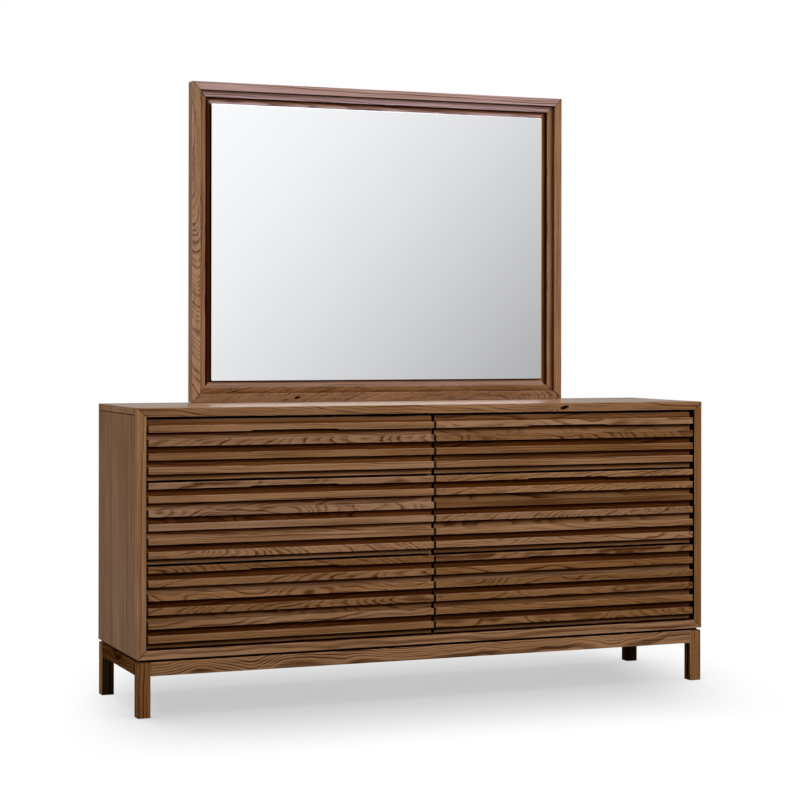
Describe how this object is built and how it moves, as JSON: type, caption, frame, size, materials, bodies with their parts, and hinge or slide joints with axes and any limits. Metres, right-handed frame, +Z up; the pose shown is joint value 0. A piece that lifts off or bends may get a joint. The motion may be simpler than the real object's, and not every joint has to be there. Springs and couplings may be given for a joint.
{
  "type": "chest of drawers with mirror",
  "caption": "Wide chest of slatted drawers on a low leg frame, with a framed mirror standing at its back edge.",
  "frame": {"origin": "on the floor, under the middle of the whole piece, its mirror uprights included", "axes": "+X to the viewer's right along the width, +Y from the drawer fronts to the back, +Z up"},
  "size_m": [1.8, 0.468, 1.836],
  "materials": {
    "stained_ash": "satin walnut-brown stain on ash",
    "drawer_wood": "clear satin lacquer",
    "backing_board": "plain board",
    "slide_steel": "zinc-plated",
    "mirror_silver": "clear silvered glass"
  },
  "bodies": {
    "carcass": {"leg_front_left": "stained_ash", "leg_front_right": "stained_ash", "leg_rear_left": "stained_ash", "leg_rear_right": "stained_ash", "apron_front": "stained_ash", "apron_rear": "stained_ash", "apron_left": "stained_ash", "apron_right": "stained_ash", "base_spacer": "stained_ash", "frame_stile_left": "stained_ash", "frame_stile_right": "stained_ash", "frame_rail_top": "stained_ash", "frame_rail_bottom": "stained_ash", "side_panel_left": "stained_ash", "side_panel_right": "stained_ash", "top_panel": "stained_ash", "bottom_panel": "stained_ash", "back_panel": "backing_board", "centre_divider": "stained_ash", "slide_channels_left": "slide_steel", "slide_channels_right": "slide_steel", "mirror_rail_top": "stained_ash", "mirror_rail_bottom": "stained_ash", "mirror_stile_left": "stained_ash", "mirror_stile_right": "stained_ash", "mirror_glass": "mirror_silver", "mirror_backing": "backing_board", "mirror_support_left": "stained_ash", "mirror_support_right": "stained_ash", "mirror_screws": "slide_steel"},
    "drawer_left_bottom": {"drawer_left_bottom_front": "stained_ash", "drawer_left_bottom_slats": "stained_ash", "drawer_left_bottom_box": "drawer_wood", "drawer_left_bottom_bottom": "backing_board", "drawer_left_bottom_runners": "slide_steel"},
    "drawer_left_middle": {"drawer_left_middle_front": "stained_ash", "drawer_left_middle_slats": "stained_ash", "drawer_left_middle_box": "drawer_wood", "drawer_left_middle_bottom": "backing_board", "drawer_left_middle_runners": "slide_steel"},
    "drawer_left_top": {"drawer_left_top_front": "stained_ash", "drawer_left_top_slats": "stained_ash", "drawer_left_top_box": "drawer_wood", "drawer_left_top_bottom": "backing_board", "drawer_left_top_runners": "slide_steel"},
    "drawer_right_bottom": {"drawer_right_bottom_front": "stained_ash", "drawer_right_bottom_slats": "stained_ash", "drawer_right_bottom_box": "drawer_wood", "drawer_right_bottom_bottom": "backing_board", "drawer_right_bottom_runners": "slide_steel"},
    "drawer_right_middle": {"drawer_right_middle_front": "stained_ash", "drawer_right_middle_slats": "stained_ash", "drawer_right_middle_box": "drawer_wood", "drawer_right_middle_bottom": "backing_board", "drawer_right_middle_runners": "slide_steel"},
    "drawer_right_top": {"drawer_right_top_front": "stained_ash", "drawer_right_top_slats": "stained_ash", "drawer_right_top_box": "drawer_wood", "drawer_right_top_bottom": "backing_board", "drawer_right_top_runners": "slide_steel"}
  },
  "joints": [
    {"name": "drawer_left_bottom_slide", "type": "slide", "parent": "carcass", "child": "drawer_left_bottom", "axis": [0, -1, 0], "range_m": [0, 0.26]},
    {"name": "drawer_left_middle_slide", "type": "slide", "parent": "carcass", "child": "drawer_left_middle", "axis": [0, -1, 0], "range_m": [0, 0.26]},
    {"name": "drawer_left_top_slide", "type": "slide", "parent": "carcass", "child": "drawer_left_top", "axis": [0, -1, 0], "range_m": [0, 0.26]},
    {"name": "drawer_right_bottom_slide", "type": "slide", "parent": "carcass", "child": "drawer_right_bottom", "axis": [0, -1, 0], "range_m": [0, 0.26]},
    {"name": "drawer_right_middle_slide", "type": "slide", "parent": "carcass", "child": "drawer_right_middle", "axis": [0, -1, 0], "range_m": [0, 0.26]},
    {"name": "drawer_right_top_slide", "type": "slide", "parent": "carcass", "child": "drawer_right_top", "axis": [0, -1, 0], "range_m": [0, 0.26]}
  ]
}
